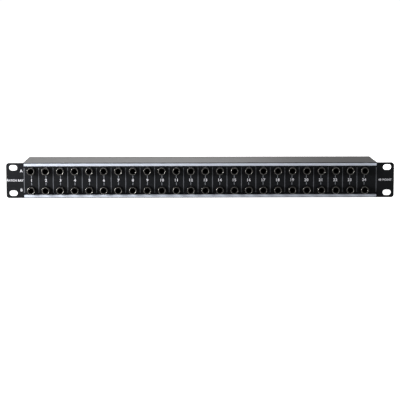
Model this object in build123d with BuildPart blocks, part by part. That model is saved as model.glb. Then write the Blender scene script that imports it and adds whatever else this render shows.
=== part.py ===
"""A 48-point balanced patch bay for a 19-inch rack, one unit high.

The origin is the centre of the four rack slots, on the back face of the front panel.
+X runs to the right seen from the front, +Y to the rear, +Z up. Sizes are in millimetres.
"""

from build123d import *
import os

# Front panel: the 19-inch rack standard sets its outline and its slots
panel_width = 482.6
panel_height = 43.7
panel_sheet = 2.0
panel_corner = 3.5
slot_span_x = 465.1
slot_span_z = 31.75
slot_length = 10.3
slot_width = 7.0

# Case behind the panel
case_width = 443.0
case_height = 42.9
case_depth = 78.0
tray_sheet = 1.2
cover_sheet = 1.5
bend_radius = 1.0
cover_gap = 0.1
rear_panel_side_gap = 0.3
flange_height = 31.0
lip_overlap = 0.85

# Channels: one column of jacks, front and rear, for each channel
channels = 24
channel_pitch = 18.0
channels_offset = -3.0
row_height = 12.0

# A quarter-inch three-pole jack, measured inward from its shoulder
jack_width = 12.6
jack_length = 24.0
jack_corner = 0.5
nose_radius = 4.8
nose_length = 12.0
bore_radius = 3.2
bore_depth = 20.8
nose_clearance = 0.2
ferrule_radius = 4.45
ferrule_wall = 0.55
ferrule_length = 8.0
ferrule_proud = 0.8
ferrule_round = 0.2
spigot_recess = 0.3
press_gap = 0.02
nose_round = 0.2
rear_standoff = 1.8

# Contacts inside each jack
contact_sheet = 0.3
contact_width = 1.6
pocket_side_gap = 0.2
pocket_start = 6.2
pocket_bite = 0.3
pocket_outer = 5.5
leaf_root = 7.1
leaf_height = 4.6
tip_contact = 17.0
ring_contact = 11.0
contact_air = 0.07
contact_slope = 1.5
leaf_rest = 4.3
leaf_end = 3.5
blade_start = 2.0
blade_bend = 4.5
blade_root = 22.9
blade_height = 4.95
tail_width = 1.0
tail_slot_gap = 0.1
lug_depth = 4.7
lug_width = 0.8
lug_thickness = 0.6

# One upright circuit board carries each channel
board_sheet = 1.6
board_side_gap = 0.1
board_half_height = 18.3
board_end_gap = 4.5
pin_hole_radius = 0.65
tail_past_board = 0.5

# Latching push switch and its button
button_shift = 1.0
button_radius = 2.8
button_hole_gap = 0.3
button_proud = 3.0
button_travel = 2.5
button_round = 0.5
stem_width = 2.6
slider_width = 5.4
slider_length = 5.0
slider_gap = 0.3
slider_end_gap = 0.1
switch_width = 8.6
switch_length = 15.0
switch_floor = 2.5
switch_cover_sheet = 0.8
switch_edge = 70.0
guide_radius = 1.3
guide_length = 2.9
spring_radius = 2.0
spring_wire = 0.2
spring_turns = 6
terminal_sheet = 0.5
terminal_rows = (-2.5, 2.5)
terminal_steps = (-5.0, 0.0, 5.0)

# Weld studs and nuts hold both panels to the tray
stud_radius = 1.5
stud_hole_gap = 0.2
stud_length = 4.1
stud_chamfer = 0.3
nut_flats = 5.5
nut_height = 2.4
thread_gap = 0.02
stud_channels = (2, 6, 10, 14, 18, 22)
tab_width = 7.0
tab_top = 5.0

# Countersunk screws and clinch nuts hold the cover to the tray's side flanges
screw_radius = 1.5
screw_head_radius = 2.8
screw_length = 5.0
screw_depths = (31.0, 45.0)
clinch_radius = 3.1
clinch_shank_radius = 2.5
clinch_length = 2.4
socket_width = 2.0
socket_depth = 0.9

# Labels
strip_sheet = 0.3
strip_width = 438.6
strip_height = 3.15
strip_margin = 0.8
rear_strip_height = 9.4
rear_strip_margin = 1.5

# Places worked out from the sizes above
half_width = case_width / 2
half_height = case_height / 2
first_column = channels_offset - channel_pitch * (channels - 1) / 2
columns = [first_column + channel_pitch * i for i in range(channels)]
stud_columns = [columns[i - 1] + channel_pitch / 2 for i in stud_channels]
front_shoulder = tray_sheet
rear_wall = case_depth - tray_sheet
rear_shoulder = rear_wall - rear_standoff
tray_half_width = half_width - cover_sheet - cover_gap
cover_underside = half_height - cover_sheet
board_near = jack_width / 2 + board_side_gap
board_far = board_near + board_sheet
tail_end = board_far + tail_past_board
lip_height = half_height - row_height - jack_width / 2 + lip_overlap
pocket_inner = bore_radius - pocket_bite
pocket_width = contact_width + 2 * pocket_side_gap
ferrule_bore = ferrule_radius - ferrule_wall
button_columns = [x + button_shift for x in columns]
button_end = case_depth + strip_sheet + button_proud
button_base = switch_edge + switch_cover_sheet + button_travel + slider_gap


def facing_front(depth):
    """The plane at this depth that faces the front, with its x along +X and its y up."""
    return Plane.XZ.offset(-depth)


def finish(piece, label):
    """Name a finished piece and write it."""
    piece.part.label = label
    export_step(piece.part, f"parts/{label}.step")


def jack_grid(points, shift=0.0):
    """The sketch points of both rows of jacks, over the given columns."""
    return [(x + shift, z) for x in points for z in (row_height, -row_height)]


os.makedirs("parts", exist_ok=True)

# Front panel: a steel plate with rack slots in its ears and a clearance hole for each jack
with BuildPart() as front_panel:
    with BuildSketch(facing_front(0)):
        RectangleRounded(panel_width, panel_height, panel_corner)
        with GridLocations(slot_span_x, slot_span_z, 2, 2):
            SlotOverall(slot_length, slot_width, mode=Mode.SUBTRACT)
        with Locations(*jack_grid(columns)):
            Circle(nose_radius + nose_clearance, mode=Mode.SUBTRACT)
    extrude(amount=panel_sheet)
finish(front_panel, "front_panel")

# Rear panel: stands between the cover's sides, with holes for the jacks and the buttons
rear_panel_width = 2 * (half_width - cover_sheet - rear_panel_side_gap)
rear_panel_top = cover_underside - cover_gap
rear_panel_height = rear_panel_top + half_height
with BuildPart() as rear_panel:
    with BuildSketch(facing_front(case_depth)):
        with Locations((0, rear_panel_top - rear_panel_height / 2)):
            Rectangle(rear_panel_width, rear_panel_height)
        with Locations(*jack_grid(columns)):
            Circle(nose_radius + nose_clearance, mode=Mode.SUBTRACT)
        with Locations(*[(x, 0) for x in button_columns]):
            Circle(button_radius + button_hole_gap, mode=Mode.SUBTRACT)
    extrude(amount=tray_sheet)
finish(rear_panel, "rear_panel")

# Tray: a folded floor with a lip and tabs at the front and rear and a flange at each side
flange_start = front_shoulder + jack_length / 2
flange_length = rear_wall - 2 * flange_start
with BuildPart() as chassis_tray:
    with BuildSketch(Plane.XY.offset(-half_height)):
        with Locations((0, rear_wall / 2)):
            Rectangle(2 * tray_half_width, rear_wall)
    extrude(amount=tray_sheet)
    for wall in (0, rear_wall - tray_sheet):
        with BuildSketch(facing_front(wall + tray_sheet)):
            with Locations((0, lip_height / 2 - half_height)):
                Rectangle(2 * tray_half_width, lip_height)
            with Locations(*[(x, (tab_top - half_height) / 2) for x in stud_columns]):
                Rectangle(tab_width, tab_top + half_height)
            with Locations(*[(x, 0) for x in stud_columns]):
                Circle(stud_radius + stud_hole_gap, mode=Mode.SUBTRACT)
        extrude(amount=tray_sheet)
    for side in (-1, 1):
        with BuildSketch(Plane.XY.offset(-half_height)):
            with Locations((side * (tray_half_width - tray_sheet / 2), rear_wall / 2)):
                Rectangle(tray_sheet, flange_length)
        extrude(amount=flange_height)
    folds = chassis_tray.edges().filter_by(Axis.X).group_by(Axis.Z)[0]
    fillet(folds, bend_radius)
    for side in (-1, 1):
        for depth in screw_depths:
            outward = Plane((side * tray_half_width, depth, 0), z_dir=(side, 0, 0))
            with Locations(outward):
                Hole(clinch_shank_radius, depth=2 * tray_sheet)
finish(chassis_tray, "chassis_tray")

# Cover: one folded sheet, the top and both sides
with BuildPart() as top_cover:
    with BuildSketch(facing_front(case_depth)):
        Rectangle(case_width, case_height)
        with Locations((0, -cover_sheet)):
            Rectangle(case_width - 2 * cover_sheet, case_height, mode=Mode.SUBTRACT)
    extrude(amount=case_depth)
    corners = top_cover.edges().filter_by(Axis.Y).group_by(Axis.Z)[-1]
    fillet(corners, bend_radius)
    for side in (-1, 1):
        for depth in screw_depths:
            outward = Plane((side * half_width, depth, 0), z_dir=(side, 0, 0))
            with Locations(outward):
                CounterSinkHole(screw_radius + thread_gap, screw_head_radius, depth=screw_length)
finish(top_cover, "top_cover")

# Cover screws: countersunk, with a hexagon socket, two through each side
screw_places = [
    Location(Plane((side * half_width, depth, 0), z_dir=(side, 0, 0)))
    for side in (-1, 1)
    for depth in screw_depths
]
head_depth = screw_head_radius - screw_radius
with BuildPart() as cover_screw:
    with BuildSketch(Plane.XY):
        Circle(screw_head_radius - press_gap)
    with BuildSketch(Plane.XY.offset(-head_depth)):
        Circle(screw_radius - press_gap)
    loft()
    with BuildSketch(Plane.XY.offset(-screw_length)):
        Circle(screw_radius - press_gap)
    extrude(amount=screw_length - head_depth)
    with BuildSketch(Plane.XY):
        RegularPolygon(socket_width / 2, 6, major_radius=False)
    extrude(amount=-socket_depth, mode=Mode.SUBTRACT)
with BuildPart() as cover_screws:
    with Locations(*screw_places):
        add(cover_screw.part)
finish(cover_screws, "cover_screws")

# Clinch nuts: pressed into the side flanges from inside
with BuildPart() as clinch_nuts:
    for side in (-1, 1):
        inner_face = tray_half_width - tray_sheet
        for depth in screw_depths:
            with BuildSketch(Plane((side * inner_face, depth, 0), z_dir=(-side, 0, 0))):
                Circle(clinch_radius)
                Circle(screw_radius, mode=Mode.SUBTRACT)
            extrude(amount=clinch_length)
            with BuildSketch(Plane((side * inner_face, depth, 0), z_dir=(side, 0, 0))):
                Circle(clinch_shank_radius - press_gap)
                Circle(screw_radius, mode=Mode.SUBTRACT)
            extrude(amount=tray_sheet)
finish(clinch_nuts, "clinch_nuts")

# Weld studs and their nuts: six on the front panel's back and six on the rear panel's
panel_faces = ((0, 1), (rear_wall, -1))
with BuildPart() as weld_studs:
    for face, inward in panel_faces:
        with BuildSketch(Plane((0, face, 0), x_dir=(1, 0, 0), z_dir=(0, inward, 0))):
            with Locations(*[(x, 0) for x in stud_columns]):
                Circle(stud_radius)
        extrude(amount=stud_length)
    stud_ends = weld_studs.edges().filter_by(GeomType.CIRCLE)
    chamfer(stud_ends.filter_by_position(Axis.Y, panel_sheet, rear_wall - panel_sheet), stud_chamfer)
finish(weld_studs, "weld_studs")

with BuildPart() as stud_nuts:
    for face, inward in panel_faces:
        seat = face + inward * tray_sheet
        with BuildSketch(Plane((0, seat, 0), x_dir=(1, 0, 0), z_dir=(0, inward, 0))):
            with Locations(*[(x, 0) for x in stud_columns]):
                RegularPolygon(nut_flats / 2, 6, major_radius=False)
                Circle(stud_radius + thread_gap, mode=Mode.SUBTRACT)
        extrude(amount=nut_height)
finish(stud_nuts, "stud_nuts")

# Designation strips: pale writing strips above and below the jacks
strip_height_at = panel_height / 2 - strip_margin - strip_height / 2
for label, height in (("upper", strip_height_at), ("lower", -strip_height_at)):
    with BuildPart() as designation_strip:
        with BuildSketch(facing_front(-panel_sheet)):
            with Locations((0, height)):
                Rectangle(strip_width, strip_height)
        extrude(amount=strip_sheet)
    finish(designation_strip, f"{label}_designation_strip")

# Rear label strip: carries the buttons' legend
rear_strip_width = rear_panel_width - 2 * rear_strip_margin
with BuildPart() as rear_label_strip:
    with BuildSketch(facing_front(case_depth + strip_sheet)):
        Rectangle(rear_strip_width, rear_strip_height)
        with Locations(*[(x, 0) for x in button_columns]):
            Circle(button_radius + button_hole_gap, mode=Mode.SUBTRACT)
    extrude(amount=strip_sheet)
finish(rear_label_strip, "rear_label_strip")

# One jack, with its shoulder at y = 0, its mouth at -Y and its board at +X
with BuildPart() as jack_body:
    with BuildSketch(facing_front(jack_length)):
        Rectangle(jack_width, jack_width)
    extrude(amount=jack_length)
    fillet(jack_body.edges().filter_by(Axis.Y), jack_corner)
    with BuildSketch(facing_front(0)):
        Circle(nose_radius)
    extrude(amount=nose_length - ferrule_proud)
    fillet(jack_body.edges().filter_by(GeomType.CIRCLE).group_by(Axis.Y)[0], nose_round)
    with BuildSketch(facing_front(ferrule_length - nose_length)):
        Circle(ferrule_radius + press_gap)
    extrude(amount=ferrule_length, mode=Mode.SUBTRACT)
    with BuildSketch(facing_front(ferrule_length - nose_length)):
        Circle(ferrule_bore - press_gap)
    extrude(amount=ferrule_length - spigot_recess)
    with BuildSketch(facing_front(bore_depth)):
        Circle(bore_radius)
    extrude(amount=bore_depth + nose_length, mode=Mode.SUBTRACT)
    # a pocket above and below the bore holds the contacts
    pocket_middle = (pocket_inner + pocket_outer) / 2
    with BuildSketch(facing_front(jack_length)):
        with Locations((0, pocket_middle), (0, -pocket_middle)):
            Rectangle(pocket_width, pocket_outer - pocket_inner)
    extrude(amount=jack_length - pocket_start, mode=Mode.SUBTRACT)
    # slots in the side let the tails through to the board
    with BuildSketch(Plane.YZ):
        with Locations((leaf_root, leaf_height), (leaf_root, -leaf_height)):
            Rectangle(tail_width + 2 * tail_slot_gap, contact_sheet + 2 * tail_slot_gap)
        with Locations((blade_root, blade_height), (blade_root, -blade_height)):
            Rectangle(tail_width + 2 * tail_slot_gap, contact_sheet + 2 * tail_slot_gap)
    extrude(amount=jack_width, mode=Mode.SUBTRACT)
    with BuildSketch(Plane.YZ.offset(bore_radius / 2)):
        with Locations((lug_depth, 0)):
            Rectangle(lug_width + 2 * tail_slot_gap, lug_thickness + 2 * tail_slot_gap)
    extrude(amount=jack_width, mode=Mode.SUBTRACT)

# The nickel-plated ferrule is a thin tube let into the nose, with a bright rounded rim
with BuildPart() as ferrule:
    with BuildSketch(facing_front(ferrule_length - nose_length)):
        Circle(ferrule_radius)
        Circle(ferrule_bore, mode=Mode.SUBTRACT)
    extrude(amount=ferrule_length)
    fillet(ferrule.edges().filter_by(GeomType.CIRCLE).group_by(Axis.Y)[0], ferrule_round)

# The lug touches the plug's sleeve and joins it to the board
lug_start = bore_radius + contact_air
with BuildPart() as sleeve_lug:
    with BuildSketch(Plane.YZ.offset(lug_start)):
        with Locations((lug_depth, 0)):
            Rectangle(lug_width, lug_thickness)
    extrude(amount=tail_end - lug_start)


def spring_leaf(contact, side):
    """A bent spring leaf that touches the plug at this depth, on one side of the bore."""
    low = bore_radius + contact_air + contact_sheet / 2
    bends = [
        (leaf_root - tail_width / 2, leaf_height),
        (leaf_root + tail_width / 2, leaf_height),
        (contact - contact_slope, (leaf_height + low) / 2),
        (contact, low),
        (contact + contact_slope, leaf_rest),
        (contact + leaf_end, leaf_rest),
    ]
    with BuildPart() as leaf:
        with BuildSketch(Plane.YZ.offset(-contact_width / 2)):
            with BuildLine():
                Polyline(*[(depth, side * height) for depth, height in bends])
            trace(line_width=contact_sheet)
        extrude(amount=contact_width)
        with BuildSketch(Plane.YZ):
            with Locations((leaf_root, side * leaf_height)):
                Rectangle(tail_width, contact_sheet)
        extrude(amount=tail_end)
    return leaf.part


def break_blade(contact, side):
    """The fixed blade that the leaf rests on when no plug is in."""
    rest = leaf_rest + contact_sheet + press_gap
    bends = [
        (contact + blade_start, side * rest),
        (contact + leaf_end, side * rest),
        (contact + blade_bend, side * blade_height),
        (blade_root + tail_width / 2, side * blade_height),
    ]
    with BuildPart() as blade:
        with BuildSketch(Plane.YZ.offset(-contact_width / 2)):
            with BuildLine():
                Polyline(*bends)
            trace(line_width=contact_sheet)
        extrude(amount=contact_width)
        with BuildSketch(Plane.YZ):
            with Locations((blade_root, side * blade_height)):
                Rectangle(tail_width, contact_sheet)
        extrude(amount=tail_end)
    return blade.part


tip_spring = spring_leaf(tip_contact, 1)
ring_spring = spring_leaf(ring_contact, -1)
tip_blade = break_blade(tip_contact, 1)
ring_blade = break_blade(ring_contact, -1)

# The rear jacks are the same part, turned half a turn about X
rows = (("upper", row_height), ("lower", -row_height))
ends = (("front", front_shoulder, 0), ("rear", rear_shoulder, 180))
for end, shoulder, turn in ends:
    for row, height in rows:
        row_places = [Location((x, shoulder, height), (turn, 0, 0)) for x in columns]
        with BuildPart() as jack_bodies:
            with Locations(*row_places):
                add(jack_body.part)
        finish(jack_bodies, f"{end}_{row}_jack_bodies")
        with BuildPart() as ferrules:
            with Locations(*row_places):
                add(ferrule.part)
        finish(ferrules, f"{end}_{row}_ferrules")
    both_rows = [
        Location((x, shoulder, height), (turn, 0, 0)) for x in columns for _, height in rows
    ]
    contacts = {
        "tip_springs": (tip_spring,),
        "ring_springs": (ring_spring,),
        "break_blades": (tip_blade, ring_blade),
        "sleeve_lugs": (sleeve_lug.part,),
    }
    for label, shapes in contacts.items():
        with BuildPart() as contact_set:
            with Locations(*both_rows):
                for shape in shapes:
                    add(shape)
        finish(contact_set, f"{end}_{label}")

# Channel boards: upright boards between the jacks, drilled for every tail
pin_points = [(lug_depth, 0)]
pin_points += [(leaf_root, side * leaf_height) for side in (-1, 1)]
pin_points += [(blade_root, side * blade_height) for side in (-1, 1)]
board_start = board_end_gap
board_stop = front_shoulder + rear_shoulder - board_end_gap
switch_middle = switch_edge - switch_length / 2
terminal_points = [(switch_middle + step, z) for step in terminal_steps for z in terminal_rows]
with BuildPart() as channel_board:
    with BuildSketch(Plane.YZ.offset(board_near)):
        with Locations(((board_start + board_stop) / 2, 0)):
            Rectangle(board_stop - board_start, 2 * board_half_height)
        for _, height in rows:
            for depth, rise in pin_points:
                with Locations(
                    (front_shoulder + depth, height + rise), (rear_shoulder - depth, height + rise)
                ):
                    Circle(pin_hole_radius, mode=Mode.SUBTRACT)
        with Locations(*terminal_points):
            Circle(pin_hole_radius, mode=Mode.SUBTRACT)
    extrude(amount=board_sheet)
with BuildPart() as channel_boards:
    with Locations(*[(x, 0, 0) for x in columns]):
        add(channel_board.part)
finish(channel_boards, "channel_boards")

# Switch housings: moulded boxes, open towards the rear
cavity_width = slider_width + 2 * slider_gap
with BuildPart() as switch_housings:
    with BuildSketch(facing_front(switch_edge)):
        with Locations(*[(x, 0) for x in button_columns]):
            Rectangle(switch_width, switch_width)
    extrude(amount=switch_length)
    with BuildSketch(facing_front(switch_edge)):
        with Locations(*[(x, 0) for x in button_columns]):
            Rectangle(cavity_width, cavity_width)
    extrude(amount=switch_length - switch_floor, mode=Mode.SUBTRACT)
finish(switch_housings, "switch_housings")

# Switch covers: steel plates that keep the sliders in
with BuildPart() as switch_covers:
    with BuildSketch(facing_front(switch_edge + switch_cover_sheet)):
        with Locations(*[(x, 0) for x in button_columns]):
            Rectangle(switch_width, switch_width)
            Rectangle(
                stem_width + 2 * slider_gap, stem_width + 2 * slider_gap, mode=Mode.SUBTRACT
            )
    extrude(amount=switch_cover_sheet)
finish(switch_covers, "switch_covers")

# Switch terminals: six pins from each switch to its board
terminal_start = switch_width / 2 + button_shift
with BuildPart() as switch_terminals:
    for x in columns:
        with BuildSketch(Plane.YZ.offset(x + terminal_start)):
            with Locations(*terminal_points):
                Rectangle(terminal_sheet, terminal_sheet)
        extrude(amount=tail_end - terminal_start)
finish(switch_terminals, "switch_terminals")

# Switch springs: each pushes its slider back out
slider_back = switch_edge - slider_end_gap
slider_front = slider_back - slider_length
spring_base = switch_edge - switch_length + switch_floor + press_gap + spring_wire
spring_reach = slider_front - press_gap - spring_wire
coil_height = spring_reach - spring_base
coil_pitch = coil_height / spring_turns
with BuildPart() as switch_spring:
    with BuildLine() as coil:
        Helix(coil_pitch, coil_height, spring_radius, center=(0, spring_base, 0), direction=(0, 1, 0))
    with BuildSketch(Plane(coil.line @ 0, z_dir=coil.line % 0)):
        Circle(spring_wire)
    sweep(path=coil.line)
with BuildPart() as switch_springs:
    with Locations(*[(x, 0, 0) for x in button_columns]):
        add(switch_spring.part)
finish(switch_springs, "switch_springs")

# Push buttons: a round cap on a square stem, with the slider and spring guide inside
for number, x in enumerate(button_columns, start=1):
    with BuildPart() as push_button:
        with BuildSketch(facing_front(button_end)):
            with Locations((x, 0)):
                Circle(button_radius)
        extrude(amount=button_end - button_base)
        fillet(push_button.edges().group_by(Axis.Y)[-1], button_round)
        with BuildSketch(facing_front(button_base)):
            with Locations((x, 0)):
                Rectangle(stem_width, stem_width)
        extrude(amount=button_base - slider_back)
        with BuildSketch(facing_front(slider_back)):
            with Locations((x, 0)):
                Rectangle(slider_width, slider_width)
        extrude(amount=slider_length)
        with BuildSketch(facing_front(slider_front)):
            with Locations((x, 0)):
                Circle(guide_radius)
        extrude(amount=guide_length)
    finish(push_button, f"push_button_{number:02d}")
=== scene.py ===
import math
import bmesh
import bpy
from mathutils import Matrix, Vector


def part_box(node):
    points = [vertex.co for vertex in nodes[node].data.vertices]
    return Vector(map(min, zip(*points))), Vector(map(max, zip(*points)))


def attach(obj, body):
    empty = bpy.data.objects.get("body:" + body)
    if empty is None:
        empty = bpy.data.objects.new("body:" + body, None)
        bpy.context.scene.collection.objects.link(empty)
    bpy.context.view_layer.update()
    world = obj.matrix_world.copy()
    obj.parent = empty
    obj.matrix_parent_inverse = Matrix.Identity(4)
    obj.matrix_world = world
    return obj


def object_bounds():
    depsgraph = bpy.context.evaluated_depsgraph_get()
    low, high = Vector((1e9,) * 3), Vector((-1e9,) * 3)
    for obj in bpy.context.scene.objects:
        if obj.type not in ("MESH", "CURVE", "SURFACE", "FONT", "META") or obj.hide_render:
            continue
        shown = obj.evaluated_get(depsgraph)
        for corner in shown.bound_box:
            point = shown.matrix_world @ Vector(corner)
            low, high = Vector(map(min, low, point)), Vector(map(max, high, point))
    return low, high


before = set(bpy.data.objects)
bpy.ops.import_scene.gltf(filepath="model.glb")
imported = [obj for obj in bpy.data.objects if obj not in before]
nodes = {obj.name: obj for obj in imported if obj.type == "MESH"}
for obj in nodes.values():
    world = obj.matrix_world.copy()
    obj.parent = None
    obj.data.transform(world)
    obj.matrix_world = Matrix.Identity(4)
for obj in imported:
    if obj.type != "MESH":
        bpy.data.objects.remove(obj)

cad_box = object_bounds()

# ---------------------------------------------------------------------------
# Front panel: a flat 2 mm steel plate with ears for the rack. It is powder
# coated in a fine satin black, and weld studs hold it to the tray behind.


def value_group(name, inputs, outputs):
    """An empty shader node group with named number inputs and outputs."""
    group = bpy.data.node_groups.new(name, "ShaderNodeTree")
    for label, default in inputs:
        socket = group.interface.new_socket(label, in_out="INPUT", socket_type="NodeSocketFloat")
        socket.default_value = default
    for label in outputs:
        group.interface.new_socket(label, in_out="OUTPUT", socket_type="NodeSocketFloat")
    start = group.nodes.new("NodeGroupInput")
    end = group.nodes.new("NodeGroupOutput")
    return group, start, end


def coat_grain_group():
    """Fine orange-peel relief and slow cloudy wear, both from Object coordinates."""
    group, start, end = value_group(
        "coat_grain", (("Grain Scale", 1500.0), ("Cloud Scale", 12.0)), ("Grain", "Cloud")
    )
    place = group.nodes.new("ShaderNodeTexCoord")
    for label, detail in (("Grain", 3.0), ("Cloud", 5.0)):
        noise = group.nodes.new("ShaderNodeTexNoise")
        noise.inputs["Detail"].default_value = detail
        group.links.new(place.outputs["Object"], noise.inputs["Vector"])
        group.links.new(start.outputs[f"{label} Scale"], noise.inputs["Scale"])
        group.links.new(noise.outputs["Fac"], end.inputs[label])
    return group


def dust_group():
    """Specks of dust: sparse points from a fine cell pattern, thinned by a cloudy mask."""
    group, start, end = value_group("dust", (("Speck Scale", 700.0), ("Amount", 0.1)), ("Dust",))
    place = group.nodes.new("ShaderNodeTexCoord")
    cells = group.nodes.new("ShaderNodeTexVoronoi")
    group.links.new(place.outputs["Object"], cells.inputs["Vector"])
    group.links.new(start.outputs["Speck Scale"], cells.inputs["Scale"])
    near = group.nodes.new("ShaderNodeMapRange")
    near.inputs["From Min"].default_value = 0.16
    near.inputs["From Max"].default_value = 0.05
    group.links.new(cells.outputs["Distance"], near.inputs["Value"])
    patches = group.nodes.new("ShaderNodeTexNoise")
    patches.inputs["Scale"].default_value = 35.0
    group.links.new(place.outputs["Object"], patches.inputs["Vector"])
    thin = group.nodes.new("ShaderNodeMath")
    thin.operation = "MULTIPLY"
    group.links.new(near.outputs["Result"], thin.inputs[0])
    group.links.new(patches.outputs["Fac"], thin.inputs[1])
    amount = group.nodes.new("ShaderNodeMath")
    amount.operation = "MULTIPLY"
    group.links.new(thin.outputs["Value"], amount.inputs[0])
    group.links.new(start.outputs["Amount"], amount.inputs[1])
    group.links.new(amount.outputs["Value"], end.inputs["Dust"])
    return group


coat_grain = coat_grain_group()
dust = dust_group()


def finish_material(name, dark, light, rough, grain, relief, metal=0.0, specular=0.5, dusty=0.1):
    """A material whose colour and gloss drift between two values, with a fine relief.

    dark and light are the colours, rough the lowest and highest roughness, grain the grain
    and cloud scales, and relief the height of the grain in metres.
    """
    material = bpy.data.materials.new(name)
    material.use_nodes = True
    tree = material.node_tree
    shader = tree.nodes["Principled BSDF"]
    shader.inputs["Metallic"].default_value = metal
    shader.inputs["Specular IOR Level"].default_value = specular
    surface = tree.nodes.new("ShaderNodeGroup")
    surface.node_tree = coat_grain
    surface.inputs["Grain Scale"].default_value = grain[0]
    surface.inputs["Cloud Scale"].default_value = grain[1]
    specks = tree.nodes.new("ShaderNodeGroup")
    specks.node_tree = dust
    specks.inputs["Amount"].default_value = dusty
    tint = tree.nodes.new("ShaderNodeMix")
    tint.data_type = "RGBA"
    tint.inputs["A"].default_value = (*dark, 1.0)
    tint.inputs["B"].default_value = (*light, 1.0)
    tree.links.new(surface.outputs["Cloud"], tint.inputs["Factor"])
    dusted = tree.nodes.new("ShaderNodeMix")
    dusted.data_type = "RGBA"
    dusted.inputs["B"].default_value = (0.55, 0.53, 0.5, 1.0)
    tree.links.new(specks.outputs["Dust"], dusted.inputs["Factor"])
    tree.links.new(tint.outputs["Result"], dusted.inputs["A"])
    tree.links.new(dusted.outputs["Result"], shader.inputs["Base Color"])
    gloss = tree.nodes.new("ShaderNodeMapRange")
    gloss.inputs["To Min"].default_value = rough[0]
    gloss.inputs["To Max"].default_value = rough[1]
    tree.links.new(surface.outputs["Cloud"], gloss.inputs["Value"])
    tree.links.new(gloss.outputs["Result"], shader.inputs["Roughness"])
    bump = tree.nodes.new("ShaderNodeBump")
    bump.inputs["Distance"].default_value = relief
    bump.inputs["Strength"].default_value = 0.6
    tree.links.new(surface.outputs["Grain"], bump.inputs["Height"])
    tree.links.new(bump.outputs["Normal"], shader.inputs["Normal"])
    return material


def wear(material, *names):
    """Gives these CAD nodes this one material."""
    for name in names:
        mesh = nodes[name].data
        mesh.materials.clear()
        mesh.materials.append(material)


panel_black = finish_material(
    "panel_black", (0.0062, 0.0068, 0.0082), (0.0090, 0.0098, 0.0116), (0.42, 0.5),
    (1800.0, 9.0), 0.00002, specular=0.12, dusty=0.02,
)
wear(panel_black, "front_panel")
panel_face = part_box("front_panel")[0][1]

# ---------------------------------------------------------------------------
# Screen print on the front panel: a pale line between the channels, a number
# for each channel between its two jacks, and a tick from the number to each jack.
# It is white ink a few hundredths of a millimetre thick.
ink_thickness = 0.00005
channels = 24
channel_pitch = 0.018
first_channel = -0.210


def bar_row_tree():
    """Geometry Nodes: a row of equal bars along X, each a thin box standing on the panel."""
    tree = bpy.data.node_groups.new("printed_bars", "GeometryNodeTree")
    face = tree.interface
    face.new_socket("Geometry", in_out="INPUT", socket_type="NodeSocketGeometry")
    face.new_socket("Bars", in_out="INPUT", socket_type="NodeSocketInt")
    face.new_socket("First", in_out="INPUT", socket_type="NodeSocketVector")
    face.new_socket("Pitch", in_out="INPUT", socket_type="NodeSocketVector")
    face.new_socket("Size", in_out="INPUT", socket_type="NodeSocketVector")
    face.new_socket("Ink", in_out="INPUT", socket_type="NodeSocketMaterial")
    face.new_socket("Geometry", in_out="OUTPUT", socket_type="NodeSocketGeometry")
    start = tree.nodes.new("NodeGroupInput")
    end = tree.nodes.new("NodeGroupOutput")
    line = tree.nodes.new("GeometryNodeMeshLine")
    line.mode = "OFFSET"
    tree.links.new(start.outputs["Bars"], line.inputs["Count"])
    tree.links.new(start.outputs["First"], line.inputs["Start Location"])
    tree.links.new(start.outputs["Pitch"], line.inputs["Offset"])
    bar = tree.nodes.new("GeometryNodeMeshCube")
    tree.links.new(start.outputs["Size"], bar.inputs["Size"])
    copies = tree.nodes.new("GeometryNodeInstanceOnPoints")
    tree.links.new(line.outputs["Mesh"], copies.inputs["Points"])
    tree.links.new(bar.outputs["Mesh"], copies.inputs["Instance"])
    real = tree.nodes.new("GeometryNodeRealizeInstances")
    tree.links.new(copies.outputs["Instances"], real.inputs["Geometry"])
    inked = tree.nodes.new("GeometryNodeSetMaterial")
    tree.links.new(real.outputs["Geometry"], inked.inputs["Geometry"])
    tree.links.new(start.outputs["Ink"], inked.inputs["Material"])
    tree.links.new(inked.outputs["Geometry"], end.inputs["Geometry"])
    return tree


def from_tree(name, tree, values, body):
    """A finished piece: the tree's result as a plain mesh, riding on the body."""
    piece = bpy.data.objects.new(name, bpy.data.meshes.new(name))
    bpy.context.scene.collection.objects.link(piece)
    modifier = piece.modifiers.new("shape", "NODES")
    modifier.node_group = tree
    for item in tree.interface.items_tree:
        if item.in_out == "INPUT" and item.name in values:
            modifier[item.identifier] = values[item.name]
    shaped = piece.evaluated_get(bpy.context.evaluated_depsgraph_get())
    mesh = bpy.data.meshes.new_from_object(shaped)
    piece.modifiers.remove(modifier)
    piece.data = mesh
    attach(piece, body)
    return piece


white_ink = finish_material(
    "white_ink", (0.62, 0.62, 0.66), (0.72, 0.72, 0.76), (0.5, 0.6),
    (900.0, 60.0), 0.00001, specular=0.3, dusty=0.0,
)
line_ink = finish_material(
    "line_ink", (0.10, 0.105, 0.12), (0.13, 0.135, 0.15), (0.5, 0.6),
    (900.0, 60.0), 0.00001, specular=0.3, dusty=0.0,
)
tick_ink = finish_material(
    "tick_ink", (0.17, 0.18, 0.20), (0.21, 0.22, 0.24), (0.5, 0.6),
    (900.0, 60.0), 0.00001, specular=0.3, dusty=0.0,
)
bars = bar_row_tree()
ink_plane = panel_face - ink_thickness / 2
divider_size = (0.0009, ink_thickness, 0.031)
divider_height = 0.0002
first_divider = first_channel - channel_pitch / 2
last_divider = 0.219
tick_size = (0.0009, ink_thickness, 0.0034)
tick_height = 0.0043
bar_rows = {
    "channel_dividers": (channels, first_divider, divider_height, divider_size, line_ink),
    "last_divider": (1, last_divider, divider_height, divider_size, line_ink),
    "upper_ticks": (channels, first_channel, tick_height, tick_size, tick_ink),
    "lower_ticks": (channels, first_channel, -tick_height, tick_size, tick_ink),
}
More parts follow.
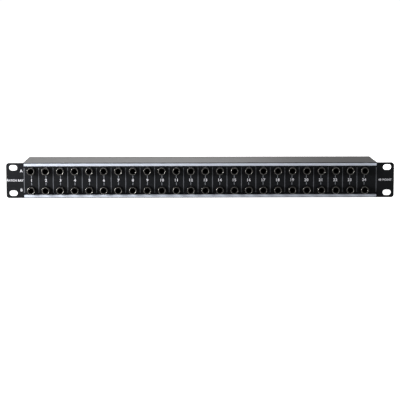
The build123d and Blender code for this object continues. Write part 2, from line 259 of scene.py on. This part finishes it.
for name, (count, start_x, height, size, ink) in bar_rows.items():
    from_tree(
        name, bars,
        {
            "Bars": count, "First": (start_x, ink_plane, height),
            "Pitch": (channel_pitch, 0.0, 0.0), "Size": size, "Ink": ink,
        },
        "case",
    )


size_per_height = 1.37
letter_spacing = 1.12
boldness = 0.045
weld_distance = 0.000001


def printed_words(name, words, ink, thickness, faces_rear=False):
    """One piece of raised print. words lists (text, height, centre), centred in the ink."""
    joined = bpy.data.meshes.new(name)
    points, faces = [], []
    turn = Matrix.Rotation(math.pi, 4, "Z") if faces_rear else Matrix.Identity(4)
    for text, height, centre in words:
        letters = bpy.data.curves.new(text, "FONT")
        letters.body = text
        letters.align_x = "CENTER"
        letters.align_y = "CENTER"
        letters.size = height * size_per_height
        letters.space_character = letter_spacing
        letters.extrude = thickness / 2
        letters.offset = height * boldness
        letters.resolution_u = 3
        holder = bpy.data.objects.new(text, letters)
        bpy.context.scene.collection.objects.link(holder)
        shaped = holder.evaluated_get(bpy.context.evaluated_depsgraph_get())
        mesh = bpy.data.meshes.new_from_object(shaped)
        place = Matrix.Translation(centre) @ turn @ Matrix.Rotation(math.pi / 2, 4, "X")
        base = len(points)
        points += [tuple(place @ vertex.co) for vertex in mesh.vertices]
        faces += [[base + i for i in polygon.vertices] for polygon in mesh.polygons]
        bpy.data.objects.remove(holder)
        bpy.data.curves.remove(letters)
        bpy.data.meshes.remove(mesh)
    joined.from_pydata(points, [], faces)
    joined.materials.append(ink)
    shell = bmesh.new()
    shell.from_mesh(joined)
    bmesh.ops.remove_doubles(shell, verts=shell.verts, dist=weld_distance)
    bmesh.ops.recalc_face_normals(shell, faces=shell.faces)
    shell.to_mesh(joined)
    shell.free()
    piece = bpy.data.objects.new(name, joined)
    bpy.context.scene.collection.objects.link(piece)
    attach(piece, "case")
    return piece


number_height = 0.0035
numbers = [
    (str(i + 1), number_height, (first_channel + channel_pitch * i, ink_plane, 0.0))
    for i in range(channels)
]
printed_words("channel_numbers", numbers, white_ink, ink_thickness)
letter_height = 0.0034
letter_column = -0.2226
row_height = 0.0120
row_letters = [
    ("A", letter_height, (letter_column, ink_plane, row_height)),
    ("B", letter_height, (letter_column, ink_plane, -row_height)),
]
printed_words("row_letters", row_letters, white_ink, ink_thickness)
word_height = 0.0026
left_ear = -0.2303
right_ear = 0.2300
ear_words = [
    ("PATCH BAY", word_height, (left_ear, ink_plane, 0.0)),
    ("48 POINT", word_height, (right_ear, ink_plane, 0.0)),
]
printed_words("ear_words", ear_words, white_ink, ink_thickness)

# ---------------------------------------------------------------------------
# Designation strips: two pale satin strips stuck along the top and bottom of the
# front panel, to be written on, and the wide label strip around the rear buttons.
strip_silver = finish_material(
    "strip_silver", (0.56, 0.60, 0.69), (0.62, 0.66, 0.75), (0.38, 0.5),
    (1200.0, 18.0), 0.000008, specular=0.5, dusty=0.02,
)
wear(strip_silver, "upper_designation_strip", "lower_designation_strip", "rear_label_strip")

# ---------------------------------------------------------------------------
# Jacks: each is a black moulded body whose round nose comes through the panel.
# A thin nickel-plated ferrule is let into the nose and shows as a ring at its mouth.
jack_black = finish_material(
    "jack_black", (0.0025, 0.0025, 0.003), (0.0045, 0.0045, 0.005), (0.38, 0.5),
    (1400.0, 40.0), 0.00001, specular=0.15, dusty=0.02,
)
nickel = finish_material(
    "nickel", (0.26, 0.25, 0.235), (0.38, 0.365, 0.34), (0.18, 0.3),
    (2500.0, 90.0), 0.000003, metal=1.0, dusty=0.0,
)
for end in ("front", "rear"):
    for row in ("upper", "lower"):
        wear(jack_black, f"{end}_{row}_jack_bodies")
        wear(nickel, f"{end}_{row}_ferrules")

# ---------------------------------------------------------------------------
# Contacts: tinned phosphor-bronze leaves, blades and lugs, stamped and bent.
contact_bronze = finish_material(
    "contact_bronze", (0.50, 0.40, 0.26), (0.66, 0.56, 0.40), (0.25, 0.4),
    (1800.0, 150.0), 0.000004, metal=1.0, dusty=0.0,
)
for end in ("front", "rear"):
    for kind in ("tip_springs", "ring_springs", "break_blades", "sleeve_lugs"):
        wear(contact_bronze, f"{end}_{kind}")
wear(contact_bronze, "switch_terminals")

# ---------------------------------------------------------------------------
# Channel boards: upright glass-epoxy boards under green solder resist.
board_green = finish_material(
    "board_green", (0.010, 0.085, 0.035), (0.016, 0.13, 0.05), (0.28, 0.4),
    (700.0, 220.0), 0.00001, specular=0.5, dusty=0.05,
)
wear(board_green, "channel_boards")

# ---------------------------------------------------------------------------
# Case: the folded tray is bare zinc-plated steel, and the cover that slides over
# it, top and sides in one sheet, is painted a satin black that greys at low angles.
cover_black = finish_material(
    "cover_black", (0.030, 0.026, 0.026), (0.042, 0.037, 0.037), (0.36, 0.46),
    (1300.0, 7.0), 0.00002, specular=0.32, dusty=0.12,
)
wear(cover_black, "top_cover")
wear(panel_black, "rear_panel")
zinc = finish_material(
    "zinc", (0.42, 0.43, 0.44), (0.56, 0.56, 0.56), (0.3, 0.45),
    (600.0, 60.0), 0.00001, metal=1.0, dusty=0.02,
)
wear(zinc, "chassis_tray")

# ---------------------------------------------------------------------------
# Fixings: black countersunk screws in the cover's sides, and zinc-plated clinch
# nuts, weld studs and nuts inside.
screw_black = finish_material(
    "screw_black", (0.012, 0.012, 0.013), (0.02, 0.02, 0.021), (0.3, 0.42),
    (1500.0, 200.0), 0.000006, metal=0.6, dusty=0.0,
)
wear(screw_black, "cover_screws")
wear(zinc, "clinch_nuts", "weld_studs", "stud_nuts")

# ---------------------------------------------------------------------------
# Mode switches: moulded housings with plated covers and springs, and a glossy
# black button for each channel that travels through the rear panel.
switch_black = finish_material(
    "switch_black", (0.015, 0.015, 0.017), (0.025, 0.025, 0.027), (0.4, 0.5),
    (1200.0, 80.0), 0.00001, dusty=0.02,
)
wear(switch_black, "switch_housings")
wear(zinc, "switch_covers", "switch_springs")
button_black = finish_material(
    "button_black", (0.008, 0.008, 0.009), (0.012, 0.012, 0.013), (0.22, 0.34),
    (1600.0, 120.0), 0.000006, specular=0.5, dusty=0.04,
)
for i in range(channels):
    wear(button_black, f"push_button_{i + 1:02d}")

# ---------------------------------------------------------------------------
# Rear legend: two short lines at the end of the rear strip say what the buttons'
# two positions do. It is black ink on the pale strip.
dark_ink = finish_material(
    "dark_ink", (0.02, 0.02, 0.025), (0.03, 0.03, 0.035), (0.45, 0.55),
    (900.0, 60.0), 0.00001, dusty=0.0,
)
rear_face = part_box("rear_label_strip")[1][1]
legend_plane = rear_face + ink_thickness / 2
legend_height = 0.0019
legend_column = 0.2118
legend_line = 0.0022
legend_words = [
    ("OUT", legend_height, (legend_column, legend_plane, legend_line)),
    ("IN", legend_height, (legend_column, legend_plane, -legend_line)),
]
printed_words("rear_legend", legend_words, dark_ink, ink_thickness, faces_rear=True)

# ---------------------------------------------------------------------------
# Stage: a plain white floor under a white sky, both bright only to the camera, one
# soft key light from the left, two lights behind for the cover and the rear, and the camera.
floor_height = cad_box[0][2]
floor_mesh = bpy.data.meshes.new("floor")
reach = 12.0
floor_mesh.from_pydata(
    [(-reach, -reach, floor_height), (reach, -reach, floor_height),
     (reach, reach * 3, floor_height), (-reach, reach * 3, floor_height)],
    [], [(0, 1, 2, 3)],
)
floor = bpy.data.objects.new("floor", floor_mesh)
bpy.context.scene.collection.objects.link(floor)
floor_white = bpy.data.materials.new("floor_white")
floor_white.use_nodes = True
floor_shader = floor_white.node_tree.nodes["Principled BSDF"]
floor_shader.inputs["Base Color"].default_value = (0.80, 0.80, 0.80, 1.0)
floor_shader.inputs["Roughness"].default_value = 0.9
floor_shader.inputs["Emission Color"].default_value = (1.0, 1.0, 1.0, 1.0)
seen = floor_white.node_tree.nodes.new("ShaderNodeLightPath")
floor_white.node_tree.links.new(
    seen.outputs["Is Camera Ray"], floor_shader.inputs["Emission Strength"]
)
floor_mesh.materials.append(floor_white)

world = bpy.data.worlds.new("studio")
world.use_nodes = True
world.node_tree.nodes["Background"].inputs["Color"].default_value = (1.0, 1.0, 1.0, 1.0)
seen = world.node_tree.nodes.new("ShaderNodeLightPath")
brightness = world.node_tree.nodes.new("ShaderNodeMapRange")
brightness.inputs["To Min"].default_value = 0.24
brightness.inputs["To Max"].default_value = 1.05
world.node_tree.links.new(seen.outputs["Is Camera Ray"], brightness.inputs["Value"])
world.node_tree.links.new(
    brightness.outputs["Result"], world.node_tree.nodes["Background"].inputs["Strength"]
)
bpy.context.scene.world = world
bpy.context.scene.view_settings.view_transform = "Standard"


def soft_light(name, place, aim, size, power):
    """A square area light at place, facing aim."""
    lamp = bpy.data.lights.new(name, "AREA")
    lamp.shape = "SQUARE"
    lamp.size = size
    lamp.energy = power
    holder = bpy.data.objects.new(name, lamp)
    bpy.context.scene.collection.objects.link(holder)
    holder.location = place
    holder.rotation_euler = (Vector(aim) - Vector(place)).to_track_quat("-Z", "Y").to_euler()


soft_light("key", (-0.66, -0.47, 0.18), (0.0, 0.0, 0.0), 0.30, 7.6)
soft_light("back", (-0.20, 1.8, 1.1), (0.0, 0.0, 0.0), 0.9, 9.5)
soft_light("rear_fill", (0.66, 0.62, 0.30), (0.0, 0.08, 0.0), 0.30, 4.5)

camera = bpy.data.cameras.new("camera")
camera.sensor_width = 36.0
camera.lens = 125.6
camera.clip_end = 100.0
viewer = bpy.data.objects.new("camera", camera)
bpy.context.scene.collection.objects.link(viewer)
tilt, swing, roll = (math.radians(angle) for angle in (7.591, -0.692, -0.048))
viewer.matrix_world = (
    Matrix.Translation((-0.0214, -1.7269, 0.205))
    @ Matrix.Rotation(swing, 4, "Z")
    @ Matrix.Rotation(math.pi / 2 - tilt, 4, "X")
    @ Matrix.Rotation(roll, 4, "Z")
)
bpy.context.scene.camera = viewer
